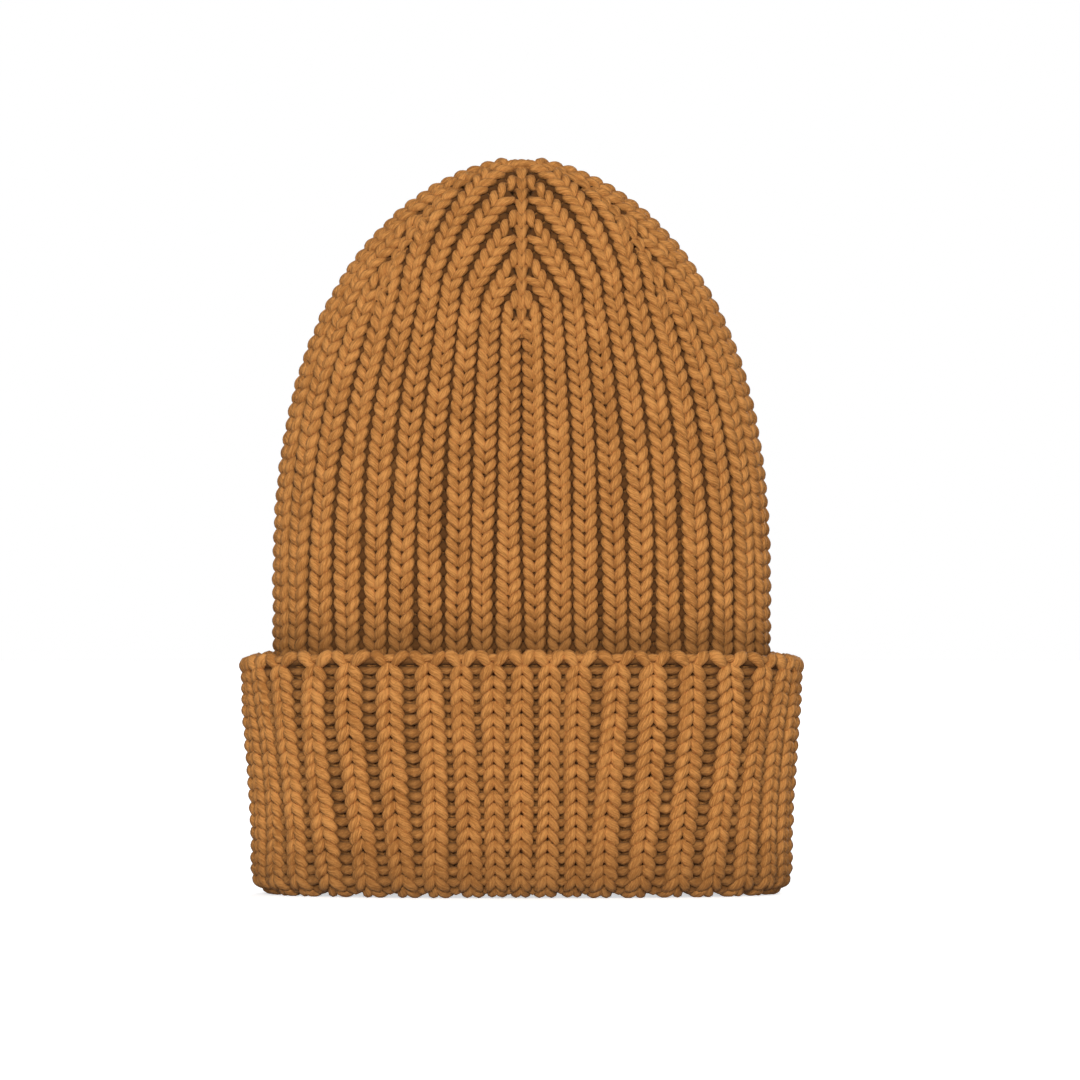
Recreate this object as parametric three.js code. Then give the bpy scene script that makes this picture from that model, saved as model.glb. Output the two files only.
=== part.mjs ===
// A chunky 1x1 rib-knit beanie with a turned-up cuff, standing on its folded brim.
// Millimetres, +Z up. The wearer faces -Y, and the origin is on the floor under the middle.
// The real cap is one knitted tube, so each mesh here is one zone of that fabric: the cast-on
// edge, the two layers of the cuff and its fold, the body, the crown's gores, the lines where
// the gores are decreased into each other, the last round, and the yarn that draws it shut.
import * as THREE from 'three';

// ---- Driving dimensions ----
const CAP_HEIGHT = 288.7;
const BODY_HALF_WIDTH = 97;
const BODY_HALF_DEPTH = 56;
const KNIT_THICKNESS = 8;
const GAP = 0.3;

const CUFF_HEIGHT = 95;
const CUFF_TOP_HALF_WIDTH = 110;
const CUFF_FOOT_HALF_WIDTH = 105.7;
const CUFF_TOP_HALF_DEPTH = 72;
const CUFF_FOOT_HALF_DEPTH = 69;
const EDGE_HEIGHT = 6.5;          // the cast-on edge, part of the cuff's height
const FOLD_HEIGHT = 16;           // how far the rolled fold reaches up from the floor
const FOLD_FLAT = 4;              // width of the flat that the fold rests on

const DOME_START = 110;           // height where the body starts to close in
const SHAPING_START = 0.8;        // half-width, as a share of the body's, where the gores begin
const CLOSING_START = 0.13;       // the same, where the last round begins
const CLOSING_HOLE = 0.02;        // and where it ends, round the pinhole in the middle

const GORES = 6;
const COLUMNS_PER_GORE = 6;
const COLUMNS = GORES * COLUMNS_PER_GORE;
const DECREASE_WIDTH = 7;         // one pair of decreased ribs
const DECREASE_SHARE = 0.4;       // the most of a gore's width that a decrease line may take
const OVAL_POWER = 2.2;           // 2 is an ellipse, more is squarer
const DRAWN_LOOP_RADIUS = 3.5;
const DRAWN_YARN_RADIUS = 1.5;    // yarn pulled tight is thinner than yarn in a stitch
const DRAWN_LOOP_DROP = 2;        // the crown curves down by this much over the loop

const YARN = { color: 0xb87238, roughness: 0.95, metalness: 0 };
const SHADED_YARN = { color: 0xa3632f, roughness: 0.95, metalness: 0 };

// ---- The cap's outer surface ----

// The body's half-width and half-depth where the half-width is the share s of its full value.
function domeAt(s) {
  const climb = Math.pow(1 - Math.pow(s, 1.8), 1 / 2.7);
  return {
    a: BODY_HALF_WIDTH * s,
    b: BODY_HALF_DEPTH * Math.sqrt(1 - climb * climb),
    z: DOME_START + (CAP_HEIGHT - DOME_START) * climb,
  };
}

// Linear from p to q, with t from 0 to 1, slowed at both ends.
function ease(p, q, t) {
  const clamped = Math.min(1, Math.max(0, t));
  return p + (q - p) * clamped * clamped * (3 - 2 * clamped);
}

// The cuff's outside face at height z.
function cuffAt(z) {
  const rise = (z - FOLD_HEIGHT) / (CUFF_HEIGHT - FOLD_HEIGHT);
  return {
    a: ease(CUFF_FOOT_HALF_WIDTH, CUFF_TOP_HALF_WIDTH, rise),
    b: ease(CUFF_FOOT_HALF_DEPTH, CUFF_TOP_HALF_DEPTH, rise),
  };
}

// The outside face of the layer inside the cuff, which runs up into the body.
function innerLayerAt(z) {
  const rise = (z - FOLD_HEIGHT) / (CUFF_HEIGHT - FOLD_HEIGHT);
  const inset = KNIT_THICKNESS + 2 * GAP;
  return {
    a: ease(CUFF_FOOT_HALF_WIDTH - inset, BODY_HALF_WIDTH, rise),
    b: ease(CUFF_FOOT_HALF_DEPTH - inset, BODY_HALF_DEPTH, rise),
  };
}

// A point at the share f of the way round an oval, from the front middle towards +X, with the
// oval's outward normal there. Equal steps of f are equal lengths of knitting.
const LENGTH_STEPS = 180;
function ovalPoint(a, b, f) {
  const at = (angle) => {
    const side = Math.sin(angle);
    const front = -Math.cos(angle);
    const power = 2 / OVAL_POWER;
    return new THREE.Vector2(
      a * Math.sign(side) * Math.pow(Math.abs(side), power),
      b * Math.sign(front) * Math.pow(Math.abs(front), power));
  };
  const lengths = [0];
  let last = at(0);
  for (let i = 1; i <= LENGTH_STEPS; i += 1) {
    const next = at((i / LENGTH_STEPS) * 2 * Math.PI);
    lengths.push(lengths[i - 1] + next.distanceTo(last));
    last = next;
  }
  const wanted = (f - Math.floor(f)) * lengths[LENGTH_STEPS];
  let i = 1;
  while (i < LENGTH_STEPS && lengths[i] < wanted) i += 1;
  const share = (wanted - lengths[i - 1]) / (lengths[i] - lengths[i - 1]);
  const p = at(((i - 1) / LENGTH_STEPS) * 2 * Math.PI);
  const q = at((i / LENGTH_STEPS) * 2 * Math.PI);
  const point = p.clone().lerp(q, share);
  const along = q.clone().sub(p).normalize();
  return { point, normal: new THREE.Vector2(along.y, -along.x), length: lengths[LENGTH_STEPS] };
}

// A point on the dome or under it: s is domeAt's share, f is ovalPoint's, depth is inwards.
function domePoint(s, f, depth) {
  const step = 0.002;
  const place = (share, around) => {
    const { a, b, z } = domeAt(share);
    const { point } = ovalPoint(a, b, around);
    return new THREE.Vector3(point.x, point.y, z);
  };
  const here = place(s, f);
  if (depth === 0) return here;
  const up = place(s - step, f).sub(place(Math.min(1, s + step), f));
  const round = place(s, f + step).sub(place(s, f - step));
  return here.addScaledVector(round.cross(up).normalize(), -depth);
}

// ---- Solids ----

function geometryOf(points, triangles) {
  const geometry = new THREE.BufferGeometry();
  const flat = points.flatMap((p) => [p.x, p.y, p.z]);
  geometry.setAttribute('position', new THREE.Float32BufferAttribute(flat, 3));
  geometry.setIndex(triangles);
  geometry.computeVertexNormals();
  return geometry;
}

// A ring swept round the cap. Each corner of its section is { oval, inset, z }: a point inset
// from the oval { a, b } at the height z. The corners go up the outside and down the inside.
function ring(section) {
  const points = [];
  const triangles = [];
  const count = section.length;
  for (let i = 0; i < COLUMNS; i += 1) {
    for (const { oval, inset, z } of section) {
      const { point, normal } = ovalPoint(oval.a, oval.b, i / COLUMNS);
      points.push(new THREE.Vector3(point.x - inset * normal.x, point.y - inset * normal.y, z));
    }
  }
  for (let i = 0; i < COLUMNS; i += 1) {
    for (let j = 0; j < count; j += 1) {
      const here = i * count + j;
      const above = i * count + ((j + 1) % count);
      const beside = ((i + 1) % COLUMNS) * count + j;
      const across = ((i + 1) % COLUMNS) * count + ((j + 1) % count);
      triangles.push(here, beside, across, here, across, above);
    }
  }
  return geometryOf(points, triangles);
}

// A patch of the dome with the knit's thickness. pointAt(u, v, depth) takes u round the cap
// and v up it, both from 0 to 1. A closed patch goes all the way round.
function domePatch(columns, rows, closed, pointAt) {
  const width = closed ? columns : columns + 1;
  const points = [];
  for (const depth of [0, KNIT_THICKNESS]) {
    for (let i = 0; i < width; i += 1) {
      for (let j = 0; j <= rows; j += 1) {
        points.push(pointAt(i / columns, j / rows, depth));
      }
    }
  }
  const outside = (i, j) => (i % width) * (rows + 1) + j;
  const inside = (i, j) => width * (rows + 1) + outside(i, j);
  const triangles = [];
  const quad = (a, b, c, d) => triangles.push(a, b, c, a, c, d);
  for (let i = 0; i < columns; i += 1) {
    for (let j = 0; j < rows; j += 1) {
      quad(outside(i, j), outside(i + 1, j), outside(i + 1, j + 1), outside(i, j + 1));
      quad(inside(i, j), inside(i, j + 1), inside(i + 1, j + 1), inside(i + 1, j));
    }
    quad(outside(i, 0), inside(i, 0), inside(i + 1, 0), outside(i + 1, 0));
    quad(outside(i, rows), outside(i + 1, rows), inside(i + 1, rows), inside(i, rows));
  }
  if (!closed) {
    for (let j = 0; j < rows; j += 1) {
      quad(outside(0, j), outside(0, j + 1), inside(0, j + 1), inside(0, j));
      quad(outside(columns, j), inside(columns, j), inside(columns, j + 1), outside(columns, j + 1));
    }
  }
  return geometryOf(points, triangles);
}

// ---- The zones of the knitting ----

function castOnEdge() {
  const low = CUFF_HEIGHT - EDGE_HEIGHT;
  const corner = (inset, z) => ({ oval: cuffAt(z), inset, z });
  return ring([
    corner(0, low),
    corner(0.5, low + 3.5),
    corner(2.5, CUFF_HEIGHT - 1),
    corner(4, CUFF_HEIGHT),
    corner(6, CUFF_HEIGHT - 0.5),
    corner(KNIT_THICKNESS, low + 3),
    corner(KNIT_THICKNESS, low),
  ]);
}

function cuffOuterLayer() {
  const levels = [FOLD_HEIGHT + GAP, 36, 56, 74, CUFF_HEIGHT - EDGE_HEIGHT - GAP];
  const corner = (inset, z) => ({ oval: cuffAt(z), inset, z });
  const up = levels.map((z) => corner(0, z));
  const down = levels.map((z) => corner(KNIT_THICKNESS, z)).reverse();
  return ring([...up, ...down]);
}

function cuffInnerLayer() {
  const levels = [FOLD_HEIGHT + GAP, 44, 70, CUFF_HEIGHT];
  const corner = (inset, z) => ({ oval: innerLayerAt(z), inset, z });
  const up = levels.map((z) => corner(0, z));
  const down = levels.map((z) => corner(KNIT_THICKNESS, z)).reverse();
  return ring([...up, ...down]);
}

// The rolled bottom of the cuff: a half round on each side of a flat that lies on the floor.
function cuffFold() {
  const oval = cuffAt(FOLD_HEIGHT);
  const width = 2 * KNIT_THICKNESS + 2 * GAP;
  const radius = (width - FOLD_FLAT) / 2;
  const corners = [];
  const steps = 4;
  for (let i = 0; i <= steps; i += 1) {
    const turn = (i / steps) * (Math.PI / 2);
    corners.push({ oval, inset: radius * (1 - Math.sin(turn)), z: radius * (1 - Math.cos(turn)) });
  }
  const outside = [...corners, { oval, inset: 0, z: FOLD_HEIGHT }];
  const inside = outside.map((corner) => ({ ...corner, inset: width - corner.inset })).reverse();
  return ring([...outside, ...inside]);
}

function bodyTube() {
  const straight = CUFF_HEIGHT + GAP;
  const rows = 7;
  return domePatch(COLUMNS, rows, true, (u, v, depth) => {
    if (v === 0) {
      const { point, normal } = ovalPoint(BODY_HALF_WIDTH, BODY_HALF_DEPTH, u);
      return new THREE.Vector3(point.x - depth * normal.x, point.y - depth * normal.y, straight);
    }
    const climb = (v * rows - 1) / (rows - 1);
    const level = 1 - (1 - SHAPING_START) * Math.pow(climb, 2);
    return domePoint(level, u, depth);
  });
}

// The share of the way round that half of a decrease line takes, where domeAt's share is s.
function halfLine(s) {
  const { a, b } = domeAt(s);
  const { length } = ovalPoint(a, b, 0);
  const width = Math.min(DECREASE_WIDTH, (DECREASE_SHARE * length) / GORES);
  return { line: width / 2 / length, gap: GAP / length };
}

const CROWN_LOW = SHAPING_START - 0.004;      // leaves the gap above the body
const CROWN_HIGH = CLOSING_START + 0.004;     // and the gap under the last round

function crownLevel(v) {
  return CROWN_LOW + (CROWN_HIGH - CROWN_LOW) * v;
}

function gore(index) {
  return domePatch(COLUMNS_PER_GORE, 7, false, (u, v, depth) => {
    const s = crownLevel(v);
    const { line, gap } = halfLine(s);
    const start = index / GORES + line + gap;
    const end = (index + 1) / GORES - line - gap;
    return domePoint(s, start + (end - start) * u, depth);
  });
}

function decreaseLine(index) {
  return domePatch(2, 7, false, (u, v, depth) => {
    const s = crownLevel(v);
    return domePoint(s, index / GORES + halfLine(s).line * (2 * u - 1), depth);
  });
}

function closingRound() {
  return domePatch(12, 2, true, (u, v, depth) => (
    domePoint(CLOSING_START + (CLOSING_HOLE - CLOSING_START) * v, u, depth)));
}

// The end of the yarn, drawn through the last round's stitches from inside and pulled tight.
function drawstring() {
  const loop = new THREE.TorusGeometry(DRAWN_LOOP_RADIUS, DRAWN_YARN_RADIUS, 6, 14);
  const underside = CAP_HEIGHT - KNIT_THICKNESS - GAP;
  loop.translate(0, 0, underside - DRAWN_YARN_RADIUS - DRAWN_LOOP_DROP);
  return loop;
}

function zone(name, geometry, look) {
  const mesh = new THREE.Mesh(geometry, new THREE.MeshStandardMaterial(look));
  mesh.name = name;
  return mesh;
}

// Gores and decrease lines, in order from the front middle towards +X.
const GORE_NAMES = ['front_right', 'right', 'back_right', 'back_left', 'left', 'front_left'];
const LINE_NAMES = ['front', 'front_right', 'back_right', 'back', 'back_left', 'front_left'];

const group = new THREE.Group();
group.add(zone('cuff_cast_on_edge', castOnEdge(), YARN));
group.add(zone('cuff_outer_layer', cuffOuterLayer(), YARN));
group.add(zone('cuff_fold', cuffFold(), YARN));
group.add(zone('cuff_inner_layer', cuffInnerLayer(), SHADED_YARN));
group.add(zone('body_tube', bodyTube(), YARN));
for (let i = 0; i < GORES; i += 1) {
  group.add(zone(`crown_gore_${GORE_NAMES[i]}`, gore(i), YARN));
  group.add(zone(`decrease_line_${LINE_NAMES[i]}`, decreaseLine(i), SHADED_YARN));
}
group.add(zone('crown_closing_round', closingRound(), YARN));
group.add(zone('crown_drawstring', drawstring(), SHADED_YARN));

export default group;
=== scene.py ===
import bpy
import math
import numpy as np
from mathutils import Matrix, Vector


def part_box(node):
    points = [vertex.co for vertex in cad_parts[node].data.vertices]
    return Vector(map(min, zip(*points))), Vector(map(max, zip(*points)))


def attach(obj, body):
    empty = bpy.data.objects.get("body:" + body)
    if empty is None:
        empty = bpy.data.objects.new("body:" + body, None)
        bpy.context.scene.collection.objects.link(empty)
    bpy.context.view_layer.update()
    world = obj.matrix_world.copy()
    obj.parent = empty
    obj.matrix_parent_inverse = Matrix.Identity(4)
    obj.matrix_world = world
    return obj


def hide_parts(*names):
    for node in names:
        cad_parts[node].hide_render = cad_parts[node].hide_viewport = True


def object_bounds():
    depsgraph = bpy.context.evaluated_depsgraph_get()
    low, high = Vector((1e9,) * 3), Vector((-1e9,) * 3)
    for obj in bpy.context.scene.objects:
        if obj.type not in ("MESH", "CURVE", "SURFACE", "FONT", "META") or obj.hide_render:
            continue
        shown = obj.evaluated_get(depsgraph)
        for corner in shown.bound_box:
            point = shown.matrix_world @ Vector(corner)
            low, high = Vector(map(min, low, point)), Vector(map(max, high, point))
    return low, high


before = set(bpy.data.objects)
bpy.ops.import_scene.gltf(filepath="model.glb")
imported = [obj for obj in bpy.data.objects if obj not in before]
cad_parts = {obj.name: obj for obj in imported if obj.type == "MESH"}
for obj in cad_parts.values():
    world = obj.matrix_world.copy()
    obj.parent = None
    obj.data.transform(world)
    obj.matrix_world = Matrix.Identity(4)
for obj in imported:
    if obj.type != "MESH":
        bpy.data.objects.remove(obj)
CAD_LOW, CAD_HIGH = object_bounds()

# ---------------------------------------------------------------- sizes, in millimetres
MM = 0.001
ROW = 4.8  # height of one knitted row
TWIST = 0.30  # turn of the yarn's fibres, in radians a millimetre
RIBS = 42  # knit wales round the cap, with a purl wale between each two
GORES = 6
RIBS_PER_GORE = RIBS // GORES
LAYER = 8.0  # thickness of the ribbed fabric
OVAL_POWER = 2.2  # 2 is an ellipse, more is squarer
DOME_START = 110.0  # height where the body starts to close in
DOME_WIDE_POWER = 1.8  # with the next one, the crown's outline from the front
DOME_TALL_POWER = 2.7
FOLD_RADIUS = 4.3  # from the middle of the fold to the middle of the fabric
FOLD_CENTRE = 9.0  # height of the middle of the fold
PAST_EDGE = 6.0  # how far the surface runs on above the cuff, to carry the cast-on loops

SHAPED = 76.0  # length of each decrease line, from the closing
CROWN_PITCH = 8.9  # rib spacing in the shaped crown
FLAT_PITCH = 10.2  # rib spacing the stitch shape is drawn at
FIRST_ROW = 2  # number of the last row knitted, counted from the closing
FOLD_PACKING = 0.74  # the rows' spacing round the fold, as a share of ROW
LAST_ROW_DEPTH = 4.2  # how far the cuff's last row lies below its edge
TUCK_DEPTH = 6.0  # how far below the cuff's edge the body's shown rows end


def top_of(node):
    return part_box(node)[1] / MM


HEIGHT = CAD_HIGH.z / MM
BODY_A = top_of("body_tube").x
BODY_B = top_of("body_tube").y
FOOT_A = top_of("cuff_fold").x
FOOT_B = top_of("cuff_fold").y
CUFF_A = top_of("cuff_cast_on_edge").x
CUFF_B = top_of("cuff_cast_on_edge").y
CUFF_TOP = top_of("cuff_cast_on_edge").z
FOLD_TOP = top_of("cuff_fold").z


# ---------------------------------------------------------------- the knitted surface
def ease(x):
    """A smooth step, from 0 at x = 0 to 1 at x = 1."""
    x = np.clip(x, 0.0, 1.0)
    return x * x * (3.0 - 2.0 * x)


def dome_stations():
    """Half-width, half-depth and height of the fabric's middle, from the crown down the body."""
    turn = np.linspace(math.pi / 2, 0.0, 700)
    climb = np.sin(turn)
    share = np.clip(1.0 - climb**DOME_TALL_POWER, 0.0, 1.0) ** (1 / DOME_WIDE_POWER)
    a = (BODY_A - LAYER / 2) * share
    b = (BODY_B - LAYER / 2) * np.sqrt(np.clip(1.0 - climb * climb, 0.0, 1.0))
    z = DOME_START + (HEIGHT - LAYER / 2 - DOME_START) * climb
    return a, b, z


def cuff_rise(z):
    """How far the cuff has opened out at height z, from 0 at the fold to 1 at its edge."""
    return ease((z - FOLD_TOP) / (CUFF_TOP - FOLD_TOP))


def inner_stations():
    """The same, from the foot of the crown's curve down behind the cuff to the fold."""
    z = np.linspace(DOME_START, FOLD_CENTRE, 240)[1:]
    step_in = 2 * FOLD_RADIUS + LAYER / 2
    rise = cuff_rise(z)
    a = (FOOT_A - step_in) * (1 - rise) + (BODY_A - LAYER / 2) * rise
    b = (FOOT_B - step_in) * (1 - rise) + (BODY_B - LAYER / 2) * rise
    return a, b, z


def fold_stations():
    """The same, round the fold: a half circle from the inner layer to the outer one."""
    turn = np.linspace(0.0, math.pi, 60)[1:]
    middle = LAYER / 2 + FOLD_RADIUS
    a = FOOT_A - middle - FOLD_RADIUS * np.cos(turn)
    b = FOOT_B - middle - FOLD_RADIUS * np.cos(turn)
    z = FOLD_CENTRE - FOLD_RADIUS * np.sin(turn)
    return a, b, z


def outer_stations():
    """The same, from the fold up the cuff."""
    z = np.linspace(FOLD_CENTRE, CUFF_TOP + PAST_EDGE, 220)[1:]
    rise = cuff_rise(z)
    a = FOOT_A * (1 - rise) + CUFF_A * rise - LAYER / 2
    b = FOOT_B * (1 - rise) + CUFF_B * rise - LAYER / 2
    return a, b, z


def oval_rings(a, b, z, shares):
    """Points of each oval at the given shares of its way round, from the front middle towards +X."""
    turn = np.linspace(0.0, 2 * math.pi, 1441)
    s = np.sin(turn)
    c = np.cos(turn)
    unit_x = np.sign(s) * np.abs(s) ** (2 / OVAL_POWER)
    unit_y = -np.sign(c) * np.abs(c) ** (2 / OVAL_POWER)
    rings = np.empty((len(a), len(shares), 3))
    for i in range(len(a)):
        x = max(a[i], 1e-4) * unit_x
        y = max(b[i], 1e-4) * unit_y
        way = np.concatenate([[0.0], np.cumsum(np.hypot(np.diff(x), np.diff(y)))])
        at = way / way[-1]
        rings[i, :, 0] = np.interp(shares, at, x)
        rings[i, :, 1] = np.interp(shares, at, y)
        rings[i, :, 2] = z[i]
    return rings


def unit(v):
    return v / np.maximum(np.linalg.norm(v, axis=-1, keepdims=True), 1e-9)


class Surface:
    """The middle of the fabric, from the closing down the body, round the fold and up the cuff.

    Outwards is towards the face that the body shows, which on the turned-up cuff looks inwards.
    """

    STEP = 0.5
    AROUND = 960

    def __init__(self):
        parts = [dome_stations(), inner_stations(), fold_stations(), outer_stations()]
        counts = np.cumsum([len(p[0]) for p in parts])
        a, b, z = [np.concatenate([p[k] for p in parts]) for k in range(3)]
        shares = np.linspace(0.0, 1.0, self.AROUND + 1)
        rings = oval_rings(a, b, z, shares)
        steps = np.linalg.norm(np.diff(rings, axis=0), axis=2)
        length = np.concatenate([np.zeros((1, len(shares))), np.cumsum(steps, axis=0)])
        dome_end = counts[0] - 1
        front = length[:, 0]
        down = np.repeat(front[:, None], len(shares), axis=1)
        down[:dome_end] = length[:dome_end] * front[dome_end] / length[dome_end]
        self.fold_from = front[counts[1] - 1]
        self.fold_to = front[counts[2] - 1]
        self.total = front[-1]
        self.front_z = z
        self.front_way = front
        grid = np.arange(0.0, self.total, self.STEP)
        self.points = np.empty((len(grid), len(shares), 3))
        for j in range(len(shares)):
            for k in range(3):
                self.points[:, j, k] = np.interp(grid, down[:, j], rings[:, j, k])
        self.normals = self.make_normals()

    def make_normals(self):
        """Outward directions, turned straight up at the closing, where the oval is a point."""
        p = self.points
        down = np.gradient(p, axis=0)
        wrapped = np.concatenate([p[:, -2:-1], p, p[:, 1:2]], axis=1)
        around = (wrapped[:, 2:] - wrapped[:, :-2]) / 2
        n = unit(np.cross(down, around))
        way = (np.arange(len(p)) * self.STEP)[:, None, None]
        up = np.array([0.0, 0.0, 1.0])
        keep = ease((way - 1.0) / 8.0)
        return unit(n * keep + up * (1 - keep))

    def at(self, way, share):
        """Point and outward direction at a way down from the closing and a share of the way round."""
        row = np.clip(way / self.STEP, 0.0, len(self.points) - 1.001)
        col = (share % 1.0) * self.AROUND
        i = row.astype(int)
        j = np.minimum(col.astype(int), self.AROUND - 1)
        u = (row - i)[..., None]
        v = (col - j)[..., None]

        def mix(t):
            low = t[i, j] * (1 - v) + t[i, j + 1] * v
            high = t[i + 1, j] * (1 - v) + t[i + 1, j + 1] * v
            return low * (1 - u) + high * u

        return mix(self.points), unit(mix(self.normals))

    def across(self, way, share):
        """Millimetres for one whole share of the way round."""
        left, _ = self.at(way, share - 0.002)
        right, _ = self.at(way, share + 0.002)
        return np.linalg.norm(right - left, axis=-1) / 0.004

    def way_at_height(self, z, outer=False):
        """Way down to height z at the front, on the body and inner layer or up the cuff."""
        turn = np.argmin(self.front_z)
        if outer:
            return float(np.interp(z, self.front_z[turn:], self.front_way[turn:]))
        return float(np.interp(-z, -self.front_z[:turn], self.front_way[:turn]))


SURFACE = Surface()


# ---------------------------------------------------------------- the crown's gores
LINE_SLANT = [0.847, 0.95, 0.95, 0.847, 0.95, 0.95]  # cosine of the rows' slant at each line
CENTRE_RIB = [4.5, 3.5, 2.5, 4.5, 3.5, 2.5]  # the rib of each gore that reaches the closing
FULL_FROM = SHAPED * 0.98  # below this way down, rows run right round the cap
FREE_EDGE = 2.0  # how far a gore's row runs past its edge where the decrease line has ended
LEVEL_OUT = 140.0  # way over which the rows below the gores lose their slant
STRAIGHT_FROM = 0.58  # share of SHAPED where the ribs start to straighten
STRAIGHT_OVER = 0.52


class Gore:
    """One gore of the crown: its ribs fan out from its centre rib and end at the decrease lines."""

    def __init__(self, index):
        self.index = index
        self.centre = CENTRE_RIB[index]
        self.left = -math.asin(self.centre * CROWN_PITCH / SHAPED)
        self.right = math.asin((RIBS_PER_GORE - self.centre) * CROWN_PITCH / SHAPED)
        left_slant = LINE_SLANT[index]
        right_slant = LINE_SLANT[(index + 1) % GORES]
        self.fix_left = (left_slant - math.cos(self.left)) / self.left
        self.fix_right = (right_slant - math.cos(self.right)) / self.right
        self.angles = np.linspace(-1.0, 1.0, 801)
        self.ratio = np.sin(self.angles) / self.slant(self.angles)

    def slant(self, angle):
        """Cosine of the rows' slant, bent so that neighbouring gores agree at their line."""
        fix = np.where(angle < 0, self.fix_left, self.fix_right)
        inside = np.clip(angle, self.left, self.right)
        return np.cos(angle) + fix * inside

    def place(self, rib, reach):
        """Way down, share of the way round, and how far inside the gore's edges the point lies."""
        near = np.clip(reach, 0.5, FULL_FROM)
        offset = (rib - self.centre) * CROWN_PITCH
        angle = np.interp(offset / near, self.ratio, self.angles)
        low = np.maximum(self.left, self.edge_angle(0, near))
        high = np.minimum(self.right, self.edge_angle(RIBS_PER_GORE, near))
        low_rib = np.maximum(0.0, self.edge_rib(self.left, near))
        high_rib = np.minimum(RIBS_PER_GORE, self.edge_rib(self.right, near))
        slant = self.slant(angle)
        leave = 1 - ease((reach - FULL_FROM) / LEVEL_OUT)
        way = reach + near * (1 / slant - 1) * leave
        free_left = np.where(low > self.left, FREE_EDGE, 0.0)
        free_right = np.where(high < self.right, FREE_EDGE, 0.0)
        inside_left = (angle - low) * near + free_left
        inside_right = (high - angle) * near + free_right
        inside = np.minimum(inside_left, inside_right)
        straight = ease((reach / SHAPED - STRAIGHT_FROM) / STRAIGHT_OVER)
        fanned = (angle - low) / (high - low)
        level = (rib - low_rib) / (high_rib - low_rib)
        share = fanned * (1 - straight) + level * straight
        return way, (self.index + share) / GORES, inside

    def edge_angle(self, rib, near):
        return np.interp((rib - self.centre) * CROWN_PITCH / near, self.ratio, self.angles)

    def edge_rib(self, angle, near):
        return self.centre + near * np.interp(angle, self.angles, self.ratio) / CROWN_PITCH


GORE = [Gore(i) for i in range(GORES)]


# ---------------------------------------------------------------- rows
def row_table():
    """Way down from the closing of every row: even rows, closer together round the fold."""
    ways = list(np.arange(0.0, SURFACE.fold_from - 2.0, ROW))
    while ways[-1] < SURFACE.fold_to + 1.0:
        ways.append(ways[-1] + ROW * FOLD_PACKING)
    last = SURFACE.way_at_height(CUFF_TOP - LAST_ROW_DEPTH, outer=True)
    count = round((last - ways[-1]) / ROW)
    step = (last - ways[-1]) / count
    for _ in range(count):
        ways.append(ways[-1] + step)
    return np.array(ways)


ROW_WAYS = row_table()
LAST_ROW = len(ROW_WAYS) - 1
# the first row of the crown's whole rounds, of the hidden layer, of the fold and of the cuff
GORE_ROW = int(math.ceil(FULL_FROM / ROW))
TUCK_ROW = int(np.searchsorted(ROW_WAYS, SURFACE.way_at_height(CUFF_TOP - TUCK_DEPTH)))
FOLD_ROW = int(np.searchsorted(ROW_WAYS, SURFACE.fold_from - 1.0))
OUTER_ROW = int(np.searchsorted(ROW_WAYS, SURFACE.fold_to + 1.0))


def way_of_row(row):
    """Way down from the closing at a row number, which may have a fraction."""
    extra = np.maximum(row - LAST_ROW, 0.0) * ROW
    return np.interp(row, np.arange(LAST_ROW + 1), ROW_WAYS) + extra


# How much wider the ribs are than the average, as shares of their width. The first two change
# twice round the cap, from the front to the sides, and the third four times.
BODY_SIDES = -0.12  # below zero: narrower at the front, wider at the sides
CUFF_SIDES = (-0.06, 0.11)  # at the fold, and what is added on the way up to the edge
CUFF_QUARTERS = (-0.20, -0.05)
STRAY = 0.0010  # about the share of the way round that single ribs stray
ASKEW = 0.25  # half the rows by which the back and one side hang lower than the front
CUFF_SAG = 3.6  # how far the cuff's edge sinks at the two sides
PUCKER_AT = 0.165  # share of the way round from the front
PUCKER_WIDTH = 0.028
PUCKER_PULL = 0.0042
BEHIND_CUFF = SURFACE.way_at_height(90.0)  # way down to where the body goes behind the cuff


def settle(way, share):
    """How the finished cap lies: the ribs' uneven widths, and rows that run a little askew."""
    turn = 2 * math.pi * share
    into = ease((way - BEHIND_CUFF) / 70.0)
    upward = np.clip((way - SURFACE.fold_to) / (SURFACE.total - SURFACE.fold_to), 0.0, 1.0)
    body = BODY_SIDES * ease((way - 30.0) / 70.0)
    sides = body * (1 - into) + into * (CUFF_SIDES[0] + CUFF_SIDES[1] * upward)
    quarters = into * (CUFF_QUARTERS[0] + CUFF_QUARTERS[1] * upward)
    wide = share + sides * np.sin(2 * turn) / (4 * math.pi)
    wide = wide + quarters * np.sin(4 * turn) / (8 * math.pi)
    wide = wide + into * pucker(share, upward)
    waves = np.sin(13 * turn + way / 27.0) + 0.7 * np.sin(23 * turn - way / 18.0)
    wide = wide + STRAY * waves * ease((way - 100.0) / 60.0)
    lower = ease((way - 60.0) / 60.0) * (1 - into) * ASKEW * ROW
    sag = CUFF_SAG * ease(upward * 2.0 - 1.0) * np.sin(turn) ** 8
    return way + lower * (1 - np.cos(turn) + np.sin(turn)) - sag, wide


def pucker(share, upward):
    """Near each side of the front, two ribs of the cuff lean together half way up and part above."""
    near = (np.minimum(share % 1.0, 1.0 - share % 1.0) - PUCKER_AT) / PUCKER_WIDTH
    pull = 1.2 * ease((upward - 0.6) / 0.4) - np.sin(math.pi * upward)
    away = np.where(share % 1.0 < 0.5, 1.0, -1.0)
    return away * PUCKER_PULL * pull * near * np.exp(0.5 - 0.5 * near * near)


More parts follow.
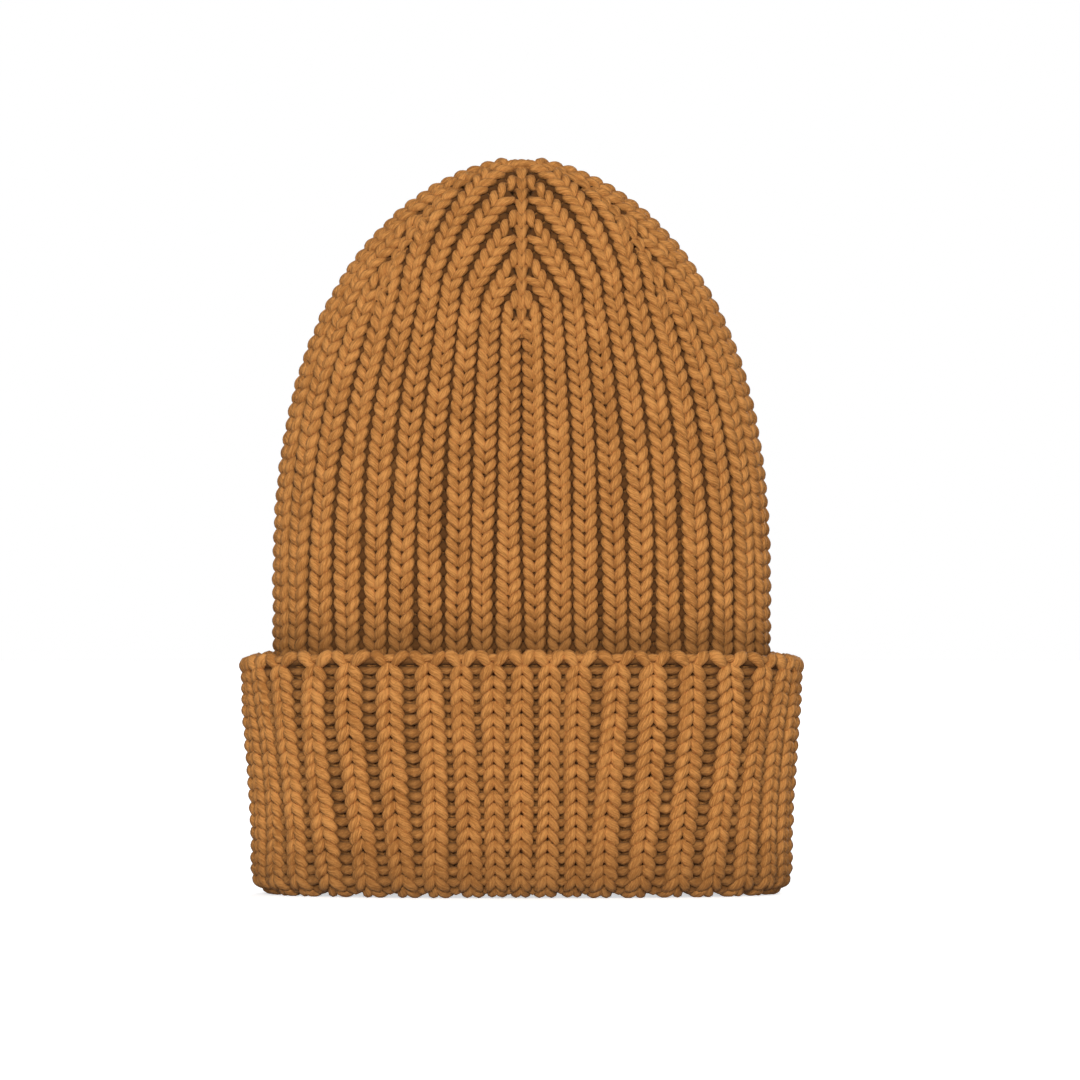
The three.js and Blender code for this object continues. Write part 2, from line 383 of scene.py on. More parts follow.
# ---------------------------------------------------------------- one stitch
# across, towards the next row, outwards, yarn radius: half a loop, from its head to the wale's edge
LOOP = [
    (0.00, 7.20, 0.35, 1.78),
    (1.95, 6.62, 0.45, 1.42),
    (3.15, 5.75, 1.40, 1.36),
    (2.94, 4.45, 2.28, 1.62),
    (2.05, 3.10, 2.70, 1.84),
    (1.18, 1.80, 2.65, 1.66),
    (0.52, 0.60, 1.80, 1.25),
    (1.35, -0.35, 0.35, 1.15),
    (2.55, -0.55, 0.00, 1.10),
]
WALE_KNOTS = 2 * len(LOOP) - 2


def rib_pattern(front_steps, back_steps, head, thick):
    """One knit wale and the purl wale beside it: across, along, outwards, radius, side.

    head is how far outwards the knit loop's head lies, and thick is the radius of the yarn there.
    """
    half = np.array(LOOP)
    half[:2, 2] = head, head * 0.5 + 0.15
    half[0, 3] = thick
    left = half[::-1] * [-1, 1, 1, 1]
    wale = np.concatenate([left, half[1:-1]])
    purl = wale.copy()
    purl[:, 2] *= -1
    purl[:, 0] += FLAT_PITCH / 2
    knots = np.concatenate([wale, purl])
    counts = [front_steps[min(i, WALE_KNOTS - 1 - i)] for i in range(WALE_KNOTS)]
    counts += [back_steps[min(i, WALE_KNOTS - 1 - i)] for i in range(WALE_KNOTS)]
    return smooth_wales(knots, counts)


def curve_point(a, b, c, d, t):
    """A point between b and c on a Catmull-Rom curve, t of the way from b."""
    bend = 2 * a - 5 * b + 4 * c - d + t * (3 * (b - c) + d - a)
    return b + 0.5 * t * (c - a + t * bend)


def smooth_wales(knots, counts):
    """A Catmull-Rom curve through knots that repeat one rib further across."""
    k = np.array(knots)
    n = len(k)
    shift = np.array([FLAT_PITCH, 0, 0, 0])

    def knot(i):
        return k[i % n] + shift * (i // n)

    out = []
    for i in range(n):
        a, b, c, d = knot(i - 1), knot(i), knot(i + 1), knot(i + 2)
        for t in np.arange(counts[i]) / counts[i]:
            side = 1.0 if i < WALE_KNOTS else -1.0
            out.append(np.append(curve_point(a, b, c, d, t), side))
    return np.array(out)


# points of yarn from each knot to the next, from the wale's edge to the loop's head
EVEN = [1, 1, 1, 1, 1, 1, 1, 1]
SMOOTH = [1, 1, 1, 2, 2, 2, 1, 1]
# the pattern for the body, whose front shows, for the cuff, whose back shows, and for the inside
SHOW_FRONT = rib_pattern(SMOOTH, EVEN, head=0.15, thick=2.30)
SHOW_BACK = rib_pattern(EVEN, SMOOTH, head=-1.45, thick=1.78)
HIDDEN = rib_pattern(EVEN, EVEN, head=0.0, thick=1.90)


# ---------------------------------------------------------------- tubes of yarn
PAINTED_SHADE_UNTIL = 0.7  # distance from the middle of the fabric within which the yarn gets the painted shade colour in full
PAINTED_SHADE_FADES_OVER = 2.3  # and how much further out that painted shade fades to the yarn's own colour


class YarnMesh:
    """Collects tubes and makes one mesh of them."""

    def __init__(self, name, sides=8):
        self.name = name
        self.sides = sides
        self.verts = []
        self.quads = []
        self.ends = []
        self.fibre = []
        self.shade = []
        self.open = []
        self.count = 0

    def tube(self, centre, outward, radius, shade, closed, height=2.0, light=1.0):
        """One tube of yarn along the points centre. Its first side faces outward.

        height is how far from the fabric's middle it lies, on either face. With light, a further painted
        shade factor (1 for none), it sets how far the yarn's colour is painted towards the deep shade
        colour.
        """
        m = len(centre)
        s = self.sides
        if closed:
            tangent = unit(np.roll(centre, -1, axis=0) - np.roll(centre, 1, axis=0))
        else:
            tangent = unit(np.gradient(centre, axis=0))
        a = unit(outward - np.sum(outward * tangent, axis=1, keepdims=True) * tangent)
        b = np.cross(tangent, a)
        turn = np.arange(s) * 2 * math.pi / s
        ring = (
            a[:, None, :] * np.cos(turn)[None, :, None]
            + b[:, None, :] * np.sin(turn)[None, :, None]
        )
        verts = centre[:, None, :] + ring * radius[:, None, None]
        step = np.linalg.norm(np.diff(centre, axis=0), axis=1)
        way = np.concatenate([[0.0], np.cumsum(step)])
        spin = turn[None, :] + way[:, None] * TWIST
        fibre = np.stack([np.repeat(way[:, None], s, axis=1), np.cos(spin), np.sin(spin)], axis=2)
        self.verts.append(verts.reshape(-1, 3))
        self.fibre.append(fibre.reshape(-1, 3))
        self.shade.append(np.repeat(shade, s))
        # painted shade: yarn near the fabric's middle, in the shaded furrows and gaps, gets a low open
        # value, which paints it with the deep shade colour
        proud = np.abs(height + np.zeros(m))[:, None] + 0.8 * np.abs(np.cos(turn))[None, :]
        lit = ease((proud - PAINTED_SHADE_UNTIL) / PAINTED_SHADE_FADES_OVER) * (light + np.zeros(m))[:, None]
        self.open.append(lit.reshape(-1))
        self.join_rings(m, closed)

    def join_rings(self, m, closed):
        """Quads between a tube's m rings of points, and a cap on each end of an open one."""
        s = self.sides
        first = self.count
        spans = m if closed else m - 1
        i = np.arange(spans)[:, None]
        j = np.arange(s)[None, :]
        here = first + i * s + j
        beside = first + i * s + (j + 1) % s
        there = first + ((i + 1) % m) * s + j
        across = first + ((i + 1) % m) * s + (j + 1) % s
        self.quads.append(np.stack([here, beside, across, there], axis=2).reshape(-1, 4))
        if not closed:
            self.ends.append(list(range(first, first + s))[::-1])
            last = first + (m - 1) * s
            self.ends.append(list(range(last, last + s)))
        self.count += m * s

    def finish(self, material, nodes):
        """Makes the mesh, with its three attributes, and ties it to the frame."""
        verts = np.concatenate(self.verts) * MM
        quads = np.concatenate(self.quads)
        loops = quads.reshape(-1)
        starts = np.arange(len(quads)) * 4
        if self.ends:
            caps = np.array(self.ends)
            starts = np.concatenate([starts, len(loops) + np.arange(len(caps)) * self.sides])
            loops = np.concatenate([loops, caps.reshape(-1)])
        mesh = bpy.data.meshes.new(self.name)
        mesh.vertices.add(len(verts))
        mesh.vertices.foreach_set("co", verts.astype(np.float32).reshape(-1))
        mesh.loops.add(len(loops))
        mesh.loops.foreach_set("vertex_index", loops.astype(np.int32))
        mesh.polygons.add(len(starts))
        mesh.polygons.foreach_set("loop_start", starts.astype(np.int32))
        mesh.polygons.foreach_set("use_smooth", np.ones(len(starts), dtype=bool))
        mesh.update(calc_edges=True)
        fibre = mesh.attributes.new("fibre", "FLOAT_VECTOR", "POINT")
        fibre.data.foreach_set("vector", np.concatenate(self.fibre).astype(np.float32).reshape(-1))
        shade = mesh.attributes.new("shade", "FLOAT", "POINT")
        shade.data.foreach_set("value", np.concatenate(self.shade).astype(np.float32))
        # open is the painted shade mask: 0 paints the deep shade colour, 1 leaves the yarn's own colour
        opened = mesh.attributes.new("open", "FLOAT", "POINT")
        opened.data.foreach_set("value", np.concatenate(self.open).astype(np.float32))
        mesh.materials.append(material)
        piece = bpy.data.objects.new(self.name, mesh)
        bpy.context.scene.collection.objects.link(piece)
        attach(piece, "root")
        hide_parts(*nodes)
        return piece


# ---------------------------------------------------------------- knitting
SHAKE_ACROSS = 0.10  # the random unevenness of a stitch, in millimetres, and of its radius
SHAKE_ALONG = 0.14
SHAKE_OUT = 0.14
SHAKE_RADIUS = 0.035
SHAKE_FADE = 0.55  # share of it that is gone at the wale's edge


def jitter(rng, ribs, pattern):
    """Random numbers for every stitch, smaller towards the wale's edges."""
    wales = ribs * 2
    rand = rng.normal(size=(wales, 4))
    per_rib = len(pattern)
    side = pattern[:, 4] < 0
    across = pattern[:, 0] - side * FLAT_PITCH / 2
    weight = np.clip(1 - np.abs(across) / (FLAT_PITCH * 0.25) * SHAKE_FADE, 0.0, 1.0)
    wale = np.arange(ribs)[:, None] * 2 + side[None, :].astype(int)
    out = rand[wale] * weight[None, :, None]
    return out.reshape(ribs * per_rib, 4)


def knit_points(row, first_rib, ribs, pattern, rng, spread=1.0, shown=1.0):
    """Rib number, row number, outward offset, radius and shade along one row of yarn.

    spread widens the loops on the face that shows. shown is 1 for the body, -1 for the cuff.
    """
    per_rib = len(pattern)
    base = first_rib + np.repeat(np.arange(ribs), per_rib) + 0.5
    stitch = np.tile(pattern, (ribs, 1))
    shake = jitter(rng, ribs, pattern)
    middle = np.where(stitch[:, 4] < 0, FLAT_PITCH / 2, 0.0)
    scale = np.where(stitch[:, 4] == shown, np.repeat(spread + np.zeros(ribs), per_rib), 1.0)
    across = middle + (stitch[:, 0] - middle) * scale
    rib = base + (across + shake[:, 0] * SHAKE_ACROSS) / FLAT_PITCH
    along = row - (stitch[:, 1] + shake[:, 1] * SHAKE_ALONG) / ROW
    out = stitch[:, 2] + shake[:, 2] * SHAKE_OUT
    radius = stitch[:, 3] * (1 + shake[:, 3] * SHAKE_RADIUS)
    shade = 0.5 + 0.5 * shake[:, 3]
    return rib, along, out, radius, shade


def stitch_stretch(row, shown):
    """Width and height of each rib's stitch in this row, next to those the stitch is drawn at."""
    edges = np.arange(RIBS + 1) + (0.0 if shown > 0 else 0.5)
    way, share = place_full(edges, np.full(RIBS + 1, float(row)))
    here, _ = SURFACE.at(way, share)
    way, share = place_full(edges, np.full(RIBS + 1, row + 1.0))
    below, _ = SURFACE.at(way, share)
    wide = np.linalg.norm(np.diff(here, axis=0), axis=1) / FLAT_PITCH
    tall = np.linalg.norm(below - here, axis=1)[:-1] / ROW
    return wide, tall


def loop_spread(wide, shown):
    """A stretched rib's loops open less than the rib does, and the body's a bit more than the cuff's."""
    if shown > 0:
        return np.clip(1.055 * wide**-0.2, 0.9, 1.09)
    return np.clip(wide**-0.38, 0.8, 1.05)


def yarn_gain(wide, tall):
    """The yarn is drawn thicker where stitches are stretched, so that no holes open."""
    return np.clip((wide * np.maximum(tall, 1.0)) ** 0.65, 0.98, 1.2)


def place_full(rib, along):
    """Way down and share round for rows that run right round the cap."""
    way = np.empty_like(rib)
    share = np.empty_like(rib)
    around = rib % RIBS
    which = (around // RIBS_PER_GORE).astype(int)
    reach = way_of_row(along)
    for g in range(GORES):
        mine = which == g
        w, f, _ = GORE[g].place(around[mine] - g * RIBS_PER_GORE, reach[mine])
        way[mine] = w
        share[mine] = f
    return settle(way, share)


FOLD_FLATTER = 0.25  # share of their depth that the ribs lose round the fold
FOLD_OUT = 0.7  # how far they move there, towards the face that the cuff shows
BEHIND_CUFF_PAINTED_LIGHT = 0.42  # share of its colour that the body keeps under painted shade where it is behind the cuff
LOW_FOLD_PAINTED_LIGHT = 0.62  # share of its colour that the fold keeps under painted shade near the floor


def fold_flat(out, way):
    """The ribs are stretched flatter where the fabric turns round the fold."""
    middle = (SURFACE.fold_from + SURFACE.fold_to) / 2
    near = ease(1.6 - np.abs(way - middle) / 7.0)
    return out * (1 - FOLD_FLATTER * near) - FOLD_OUT * near


def painted_shade_behind_cuff_and_low(way, z):
    """Painted shade: less than 1 where the body goes down behind the cuff, and low on the fold near the
    floor.
    """
    behind = BEHIND_CUFF_PAINTED_LIGHT + (1 - BEHIND_CUFF_PAINTED_LIGHT) * ease((z - CUFF_TOP + 3.0) / 24.0)
    low = LOW_FOLD_PAINTED_LIGHT + (1 - LOW_FOLD_PAINTED_LIGHT) * ease((z - 2.0) / 30.0)
    return np.where(way < SURFACE.fold_from, behind, 1.0) * low


def knit_rounds(name, rows, pattern, shown, sides, nodes, material, seed):
    """Whole rows, each one closed round of yarn."""
    mesh = YarnMesh(name, sides)
    rng = np.random.default_rng(seed)
    for row in rows:
        wide, tall = stitch_stretch(row, shown)
        spread = loop_spread(wide, shown)
        rib, along, out, radius, shade = knit_points(row, 0, RIBS, pattern, rng, spread, shown)
        radius = radius * np.repeat(yarn_gain(wide, tall), len(pattern))
        way, share = place_full(rib, along)
        point, normal = SURFACE.at(way, share)
        out = fold_flat(out, way)
        # painted shade behind the cuff and low on the fold, passed on as the tube's light; out also sets
        # the painted shade in the furrows
        light = painted_shade_behind_cuff_and_low(way, point[:, 2])
        mesh.tube(point + normal * out[:, None], normal, radius, shade, True, out, light)
    return mesh.finish(material, nodes)


def longest_run(inside):
    """Start and end of the longest unbroken run of true values."""
    best = (0, 0)
    start = None
    for i, ok in enumerate(list(inside) + [False]):
        if ok and start is None:
            start = i
        if not ok and start is not None:
            if i - start > best[1] - best[0]:
                best = (start, i)
            start = None
    return best


GORE_INSET = 0.15  # a gore's row ends this far inside the line
GORE_TUCK = 1.7  # and dips under it over this length
GORE_END_YARN = 0.84  # share of its thickness that the yarn has at its end


def knit_gore(name, index, rows, nodes, material, seed):
    """The rows of one gore, each ending at the decrease lines on both sides."""
    mesh = YarnMesh(name, 8)
    rng = np.random.default_rng(seed)
    gore = GORE[index]
    for row in rows:
        rib, along, out, radius, shade = knit_points(
            row, -1, RIBS_PER_GORE + 2, SHOW_FRONT, rng
        )
        reach = way_of_row(along)
        way, share, inside = gore.place(rib, reach)
        way, share = settle(way, share)
        low, high = longest_run(inside > GORE_INSET)
        if high - low < 6:
            continue
        keep = slice(low, high)
        tuck = ease(inside[keep] / GORE_TUCK)
        point, normal = SURFACE.at(way[keep], share[keep])
        lift = out[keep] * tuck
        # lift also sets the painted shade, darker where the row dips under the line
        mesh.tube(
            point + normal * lift[:, None],
            normal,
            radius[keep] * (GORE_END_YARN + (1 - GORE_END_YARN) * tuck),
            shade[keep],
            False,
            lift,
        )
    return mesh.finish(material, nodes)


# ---------------------------------------------------------------- single strands
def strand(knots, steps):
    """An open Catmull-Rom curve through the knots."""
    k = np.array(knots, dtype=float)
    k = np.concatenate([2 * k[:1] - k[1:2], k, 2 * k[-1:] - k[-2:-1]])
    out = []
    for i in range(1, len(k) - 2):
        a, b, c, d = k[i - 1], k[i], k[i + 1], k[i + 2]
        for t in np.arange(steps) / steps:
            out.append(curve_point(a, b, c, d, t))
    out.append(k[-2])
    return np.array(out)


# across, towards the closing, outwards, yarn radius: half a stitch of a decrease line
LINE_STITCH = [
    (-0.90, -0.90, -0.40, 1.10),
    (-0.40, 0.30, 1.30, 1.05),
    (-0.70, 1.60, 2.30, 1.20),
    (-1.10, 2.90, 2.30, 1.28),
    (-1.45, 4.10, 1.50, 1.20),
    (-2.10, 5.30, 0.00, 1.25),
    (0.00, 6.20, -0.50, 1.50),
]


def mirrored(knots):
    """Half a stitch and its mirror image, joined at the last knot."""
    return knots + [(-k[0], *k[1:]) for k in knots[-2::-1]]


def knit_line(name, index, nodes, material, seed):
    """The narrow column of decreased stitches that climbs between two gores."""
    mesh = YarnMesh(name, 8)
    rng = np.random.default_rng(seed)
    stitch = strand(mirrored(LINE_STITCH), 2)
    step = ROW / LINE_SLANT[index]
    ways = np.arange(SHAPED + 7.0, 9.0, -step)
    for way0 in ways:
        shake = rng.normal(size=4)
        narrow = min(1.0, 0.85 + (SHAPED - way0) / 60.0)
        way = way0 - stitch[:, 1] * step / ROW
        middle = np.full(len(way), index / GORES)
        offset = stitch[:, 0] * narrow + shake[0] * 0.08
        share = middle + offset / np.maximum(SURFACE.across(way, middle), 8.0)
        way, share = settle(way, share)
        point, normal = SURFACE.at(way, share)
        out = stitch[:, 2] * (0.8 + 0.2 * narrow) + shake[1] * 0.12
        radius = stitch[:, 3] * (0.7 + 0.3 * narrow) * (1 + 0.04 * shake[2])
        shade = np.full(len(way), 0.5 + 0.5 * shake[3])
        mesh.tube(point + normal * out[:, None], normal, radius, shade, closed=False)
    back_line(mesh, index, step)
    return mesh.finish(material, nodes)


def back_line(mesh, index, step):
    """Two strands behind a decrease line, one at each side, where the gores' rows end."""
    for side in (-1, 1):
        way = np.arange(10.0, SHAPED + 6.0, 1.5)
        middle = np.full(len(way), index / GORES)
        wave = 0.35 * np.sin(way * math.pi / step)
        share = middle + side * (2.4 + wave) / np.maximum(SURFACE.across(way, middle), 20.0)
        way, share = settle(way, share)
        point, normal = SURFACE.at(way, share)
        radius = np.full(len(way), 1.35)
        under = point - normal * 1.7
        # height 0.4 paints these strands almost fully with the deep shade colour
        mesh.tube(under, normal, radius, np.full(len(way), 0.4), closed=False, height=0.4)


# across, down the cuff, outwards (below zero shows), yarn radius: half a loop of the cast-on edge
EDGE_STITCH = [
    (-5.10, -1.90, 1.20, 1.00),
    (-4.70, -3.05, -0.20, 1.65),
    (-3.85, -3.45, -1.60, 2.30),
    (-2.90, -2.60, -2.35, 2.50),
    (-2.05, -1.25, -2.60, 2.20),
    (-1.20, 0.30, -2.05, 1.50),
    (0.00, 0.50, -0.60, 1.00),
]
# height above the last row, its swing at each rib, outwards, its swing back at each rib
EDGE_STRANDS = [
    (2.3, 0.1, -0.7, 1.4),
    (0.5, -0.9, 0.0, -0.6),
    (-2.0, 0.6, -0.3, -0.9),
]


def knit_edge(name, nodes, material, seed):
    """The cast-on edge: splayed loops on top of each rib of the cuff, and the strands behind them."""
    mesh = YarnMesh(name, 8)
    edge_loops(mesh, np.random.default_rng(seed))
    edge_strands(mesh)
    return mesh.finish(material, nodes)


def edge_loops(mesh, rng):
    """One round of yarn, with a splayed loop over each rib."""
    loop = strand(mirrored(EDGE_STITCH), 2)[:-1]
    per = len(loop)
    shake = np.repeat(rng.normal(size=(RIBS, 4)), per, axis=0)
    stitch = np.tile(loop, (RIBS, 1))
    hold = 1 - np.abs(stitch[:, 0]) / (FLAT_PITCH / 2)
    rib = np.repeat(np.arange(RIBS), per) + (stitch[:, 0] + shake[:, 0] * 0.2 * hold) / FLAT_PITCH
    along = LAST_ROW - (stitch[:, 1] + shake[:, 1] * 0.3 * hold) / ROW
    way, share = place_full(rib, along)
    point, normal = SURFACE.at(way, share)
    out = stitch[:, 2] + shake[:, 2] * 0.2 * hold
    radius = stitch[:, 3] * (1 + 0.05 * shake[:, 3])
    shade = 0.5 + 0.5 * shake[:, 3]
    # shown is the height for the painted shade: parts of the loop that stand out keep their colour, the
    # rest are painted darker
    shown = 0.6 + np.maximum(-out, 0.0)
    mesh.tube(point + normal * out[:, None], normal, radius, shade, closed=True, height=shown)


def edge_strands(mesh):
    """The strands that run round the edge behind the loops and swing with the ribs."""
    bind = np.linspace(0.0, RIBS, RIBS * 10, endpoint=False)
    wave = np.cos(2 * math.pi * bind)
    shade = np.full(len(bind), 0.4)
    for lift, rise, deep, sway in EDGE_STRANDS:
        way, share = place_full(bind, LAST_ROW + (lift + rise * wave) / ROW)
        point, normal = SURFACE.at(way, share)
        out = deep - sway * wave
        radius = 1.55 + 0.15 * np.cos(4 * math.pi * bind)
        # out also sets their painted shade, darker where they lie near the fabric's middle
        mesh.tube(point + normal * out[:, None], normal, radius, shade, closed=True, height=out)


def closing_round(name, nodes, material):
    """The last loops, lying round the hole that the drawn yarn pulls shut."""
    mesh = YarnMesh(name, 8)
    for i in range(GORES):
        t = np.linspace(-1.0, 1.0, 15)
        way = 7.2 + 1.6 * t * t
        share = (i + 0.46 * t) / GORES
        point, normal = SURFACE.at(way, share)
        out = 2.9 - 2.6 * t**4
        radius = 1.95 - 0.6 * t**4
        mesh.tube(point + normal * out[:, None], normal, radius, np.full(len(t), 0.6), closed=False)
    return mesh.finish(material, nodes)


def drawn_yarn(name, nodes, material):
    """The yarn end drawn through the last loops, pulled into a small ring."""
    mesh = YarnMesh(name, 8)
    t = np.linspace(0.0, 1.0, 36, endpoint=False)
    way = 2.6 + 0.35 * np.sin(6 * math.pi * t)
    point, normal = SURFACE.at(way, t)
    out = 1.6 + 0.5 * np.cos(6 * math.pi * t)
    radius = np.full(len(t), 1.5)
    shade = np.full(len(t), 0.5)
    mesh.tube(point + normal * out[:, None], normal, radius, shade, closed=True)
    return mesh.finish(material, nodes)


# ---------------------------------------------------------------- materials
def attribute(nodes, name):
    node = nodes.new("ShaderNodeAttribute")
    node.attribute_name = name
    return node


def fibre_noise(nodes, links, fibre, stretch, scale, detail):
    """Noise drawn out along the yarn, in the direction that its fibres lie."""
    drawn = nodes.new("ShaderNodeVectorMath")
    drawn.operation = "MULTIPLY"
    drawn.inputs[1].default_value = stretch
    links.new(fibre.outputs["Vector"], drawn.inputs[0])
    noise = nodes.new("ShaderNodeTexNoise")
    noise.inputs["Scale"].default_value = scale
    noise.inputs["Detail"].default_value = detail
    noise.inputs["Roughness"].default_value = 0.6
    links.new(drawn.outputs["Vector"], noise.inputs["Vector"])
    return noise.outputs["Fac"]


def weigh(nodes, links, first, second, factor):
    """first, with the share factor of second mixed in."""
    mix = nodes.new("ShaderNodeMix")
    mix.data_type = "FLOAT"
    mix.inputs["Factor"].default_value = factor
    links.new(first, mix.inputs[2])
    links.new(second, mix.inputs[3])
    return mix.outputs[0]


def yarn_material(name, light, dark, deep, rough):
    """Plied yarn whose tone varies along its fibres, with the dark end of the ramp also painting shade
    between them, and deep, the painted shade colour, where it is shut in.
    """
    mat = bpy.data.materials.new(name)
    mat.use_nodes = True
    nodes = mat.node_tree.nodes
    links = mat.node_tree.links
    nodes.clear()
    out = nodes.new("ShaderNodeOutputMaterial")
    shader = nodes.new("ShaderNodeBsdfPrincipled")
    links.new(shader.outputs["BSDF"], out.inputs["Surface"])
    fibre = attribute(nodes, "fibre")
    shade = attribute(nodes, "shade")
    opened = attribute(nodes, "open")
    plies = fibre_noise(nodes, links, fibre, (0.16, 0.8, 0.8), 1.3, 2.0)
    streaks = fibre_noise(nodes, links, fibre, (0.20, 2.1, 2.1), 1.6, 4.0)
    relief = weigh(nodes, links, plies, streaks, 0.82)
    tone = weigh(nodes, links, relief, shade.outputs["Fac"], 0.06)
    # the ramp gives the yarn's own tone along its fibres and plies; its dark end also paints shade
    # between them
    ramp = nodes.new("ShaderNodeValToRGB")
    ramp.color_ramp.elements[0].position = 0.41
    ramp.color_ramp.elements[0].color = (*dark, 1)
    ramp.color_ramp.elements[1].position = 0.59
    ramp.color_ramp.elements[1].color = (*light, 1)
    links.new(tone, ramp.inputs["Fac"])
    # painted shade: where the open attribute is low, the yarn's colour is mixed towards deep, the
    # painted shade colour
    shadow = nodes.new("ShaderNodeMix")
    shadow.data_type = "RGBA"
    shadow.inputs[6].default_value = (*deep, 1)
    links.new(opened.outputs["Fac"], shadow.inputs["Factor"])
    links.new(ramp.outputs["Color"], shadow.inputs[7])
    links.new(shadow.outputs[2], shader.inputs["Base Color"])
    bump = nodes.new("ShaderNodeBump")
    bump.inputs["Strength"].default_value = 0.85
    bump.inputs["Distance"].default_value = 0.0008
    links.new(relief, bump.inputs["Height"])
    links.new(bump.outputs["Normal"], shader.inputs["Normal"])
    spread = nodes.new("ShaderNodeMapRange")
    spread.inputs["To Min"].default_value = rough - 0.08
    spread.inputs["To Max"].default_value = rough + 0.08
    links.new(streaks, spread.inputs["Value"])
    links.new(spread.outputs["Result"], shader.inputs["Roughness"])
    shader.inputs["Sheen Weight"].default_value = 0.06
    shader.inputs["Sheen Roughness"].default_value = 0.6
    shader.inputs["Sheen Tint"].default_value = (0.9, 0.62, 0.36, 1)
    shader.inputs["Specular IOR Level"].default_value = 0.16
    return mat


def table_material():
    mat = bpy.data.materials.new("table")
    mat.use_nodes = True
    shader = mat.node_tree.nodes["Principled BSDF"]
    shader.inputs["Base Color"].default_value = (0.34, 0.33, 0.32, 1)
    shader.inputs["Roughness"].default_value = 0.9
    return mat


def floor_material():
    mat = bpy.data.materials.new("floor")
    mat.use_nodes = True
    shader = mat.node_tree.nodes["Principled BSDF"]
    shader.inputs["Base Color"].default_value = (0.93, 0.93, 0.93, 1)
    shader.inputs["Roughness"].default_value = 0.9
    shader.inputs["Specular IOR Level"].default_value = 0.1
    shader.inputs["Emission Color"].default_value = (1, 1, 1, 1)
    shader.inputs["Emission Strength"].default_value = 0.64
    return mat


# ---------------------------------------------------------------- floor, light, camera
STUDIO_SIZE = 9.0  # metres from the middle to the floor's edges and to the backdrop
VIEW_WIDTH = 0.4235  # metres across the picture, at the cap
VIEW_CENTRE_X = 0.0072
VIEW_CENTRE_Z = 0.1387


def flat_square(name, z, material):
    mesh = bpy.data.meshes.new(name)
    size = STUDIO_SIZE
    corners = [(-size, -size, z), (size, -size, z), (size, size, z), (-size, size, z)]
    mesh.from_pydata(corners, [], [(0, 1, 2, 3)])
    mesh.materials.append(material)
    square = bpy.data.objects.new(name, mesh)
    bpy.context.scene.collection.objects.link(square)
    return square


def make_floor():
    """A white floor for the camera, and a grey table just under it that sets the light from below."""
    floor = flat_square("floor", 0.0, floor_material())
    floor.visible_diffuse = False
    table = flat_square("table", -0.001, table_material())
    table.visible_camera = False


def soft_sun(name, place, strength, width):
    """A sun that shines from place towards the middle, as wide as width in degrees."""
    data = bpy.data.lights.new(name, "SUN")
    data.energy = strength
    data.angle = math.radians(width)
    light = bpy.data.objects.new(name, data)
    light.location = place
    light.rotation_euler = (-Vector(place)).to_track_quat("-Z", "Y").to_euler()
    bpy.context.scene.collection.objects.link(light)


def make_light():
    world = bpy.data.worlds.new("studio")
    world.use_nodes = True
    back = world.node_tree.nodes["Background"]
    back.inputs["Color"].default_value = (1, 1, 1, 1)
    back.inputs["Strength"].default_value = 0.27
    bpy.context.scene.world = world
    soft_sun("key", place=(-0.05, -1.5, 0.25), strength=3.6, width=26)
    soft_sun("back light", place=(0.3, 1.5, 0.4), strength=1.6, width=24)


def backdrop_material():
    mat = bpy.data.materials.new("backdrop")
    mat.use_nodes = True
    nodes = mat.node_tree.nodes
    nodes.clear()
    out = nodes.new("ShaderNodeOutputMaterial")
    glow = nodes.new("ShaderNodeEmission")
    glow.inputs["Color"].default_value = (1, 1, 1, 1)
    glow.inputs["Strength"].default_value = 1.0
    mat.node_tree.links.new(glow.outputs["Emission"], out.inputs["Surface"])
    return mat


def make_backdrop():
    """A plain white drum round the studio, which only the camera sees."""
    mesh = bpy.data.meshes.new("backdrop")
    radius = STUDIO_SIZE
    tall = STUDIO_SIZE
    sides = 48
    turn = [2 * math.pi * i / sides for i in range(sides)]
    low = [(radius * math.cos(t), radius * math.sin(t), -0.01) for t in turn]
    high = [(x, y, tall) for x, y, _ in low]
    walls = [(i, (i + 1) % sides, sides + (i + 1) % sides, sides + i) for i in range(sides)]
    lid = [tuple(range(sides, 2 * sides))]
    mesh.from_pydata(low + high, [], walls + lid)
    mesh.materials.append(backdrop_material())
    drum = bpy.data.objects.new("backdrop", mesh)
    drum.visible_diffuse = False
    drum.visible_glossy = False
    drum.visible_transmission = False
    drum.visible_shadow = False
    bpy.context.scene.collection.objects.link(drum)


def make_camera():
    data = bpy.data.cameras.new("camera")
    data.lens = 400.0
    data.sensor_width = 36.0
    camera = bpy.data.objects.new("camera", data)
    distance = VIEW_WIDTH / data.sensor_width * data.lens
    camera.location = (VIEW_CENTRE_X, -distance, VIEW_CENTRE_Z)
    camera.rotation_euler = (math.pi / 2, 0, 0)
    bpy.context.scene.collection.objects.link(camera)
    bpy.context.scene.camera = camera
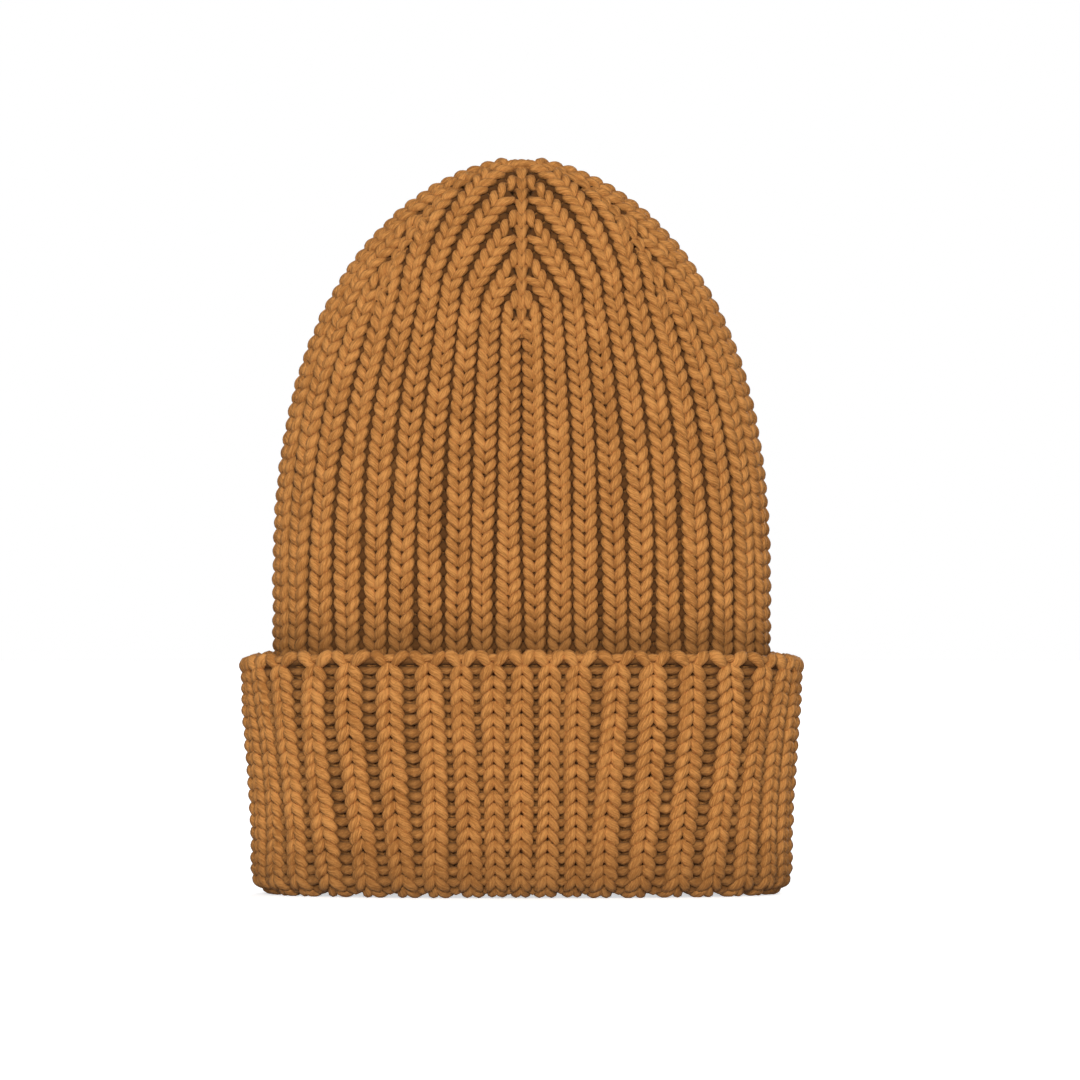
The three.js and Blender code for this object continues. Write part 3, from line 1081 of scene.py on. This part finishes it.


# ---------------------------------------------------------------- build
# light and dark ends of the yarn's ramp: its own tone, with painted shade between the fibres in the dark
# end
KNIT_LIGHT = (0.60, 0.262, 0.069)
KNIT_DARK = (0.34, 0.131, 0.027)
DRAWN_LIGHT = (0.60, 0.260, 0.066)
DRAWN_DARK = (0.30, 0.114, 0.022)
# painted shade colour for yarn shut in deep between the stitches
PAINTED_SHADE_COLOUR = (0.082, 0.029, 0.0045)
KNIT = yarn_material("rib knit yarn", KNIT_LIGHT, KNIT_DARK, PAINTED_SHADE_COLOUR, rough=0.82)
DRAWN = yarn_material("drawn yarn", DRAWN_LIGHT, DRAWN_DARK, PAINTED_SHADE_COLOUR, rough=0.84)

GORE_NAMES = ["front_right", "right", "back_right", "back_left", "left", "front_left"]
LINE_NAMES = ["front", "front_right", "back_right", "back", "back_left", "front_left"]


def knit_band(name, groups, first, last, pattern, shown, sides, node, seed):
    """The rounds from first to last - 1, in groups that are small enough for one mesh each."""
    for part, rows in enumerate(np.array_split(np.arange(first, last), groups)):
        piece = f"{name}_{part + 1}" if groups > 1 else name
        knit_rounds(piece, rows, pattern, shown, sides, [node], KNIT, seed + part)


def knit_tube():
    knit_band("body_rounds", 5, GORE_ROW, TUCK_ROW, SHOW_FRONT, 1, 8, "body_tube", 11)
    knit_band("inner_rounds", 2, TUCK_ROW, FOLD_ROW, HIDDEN, 1, 6, "cuff_inner_layer", 31)
    knit_band("fold_rounds", 1, FOLD_ROW, OUTER_ROW, SHOW_BACK, -1, 8, "cuff_fold", 41)
    knit_band("cuff_rounds", 3, OUTER_ROW, LAST_ROW + 1, SHOW_BACK, -1, 8, "cuff_outer_layer", 51)


def knit_crown():
    for index, where in enumerate(GORE_NAMES):
        rows = np.arange(FIRST_ROW, GORE_ROW)
        knit_gore(f"gore_{where}", index, rows, [f"crown_gore_{where}"], KNIT, 71 + index)
    for index, where in enumerate(LINE_NAMES):
        knit_line(f"line_{where}", index, [f"decrease_line_{where}"], KNIT, 91 + index)


knit_tube()
knit_crown()
knit_edge("cast_on_loops", ["cuff_cast_on_edge"], KNIT, 101)
closing_round("closing_loops", ["crown_closing_round"], KNIT)
drawn_yarn("drawn_ring", ["crown_drawstring"], DRAWN)

make_floor()
make_backdrop()
make_light()
make_camera()
bpy.context.scene.view_settings.view_transform = "Standard"
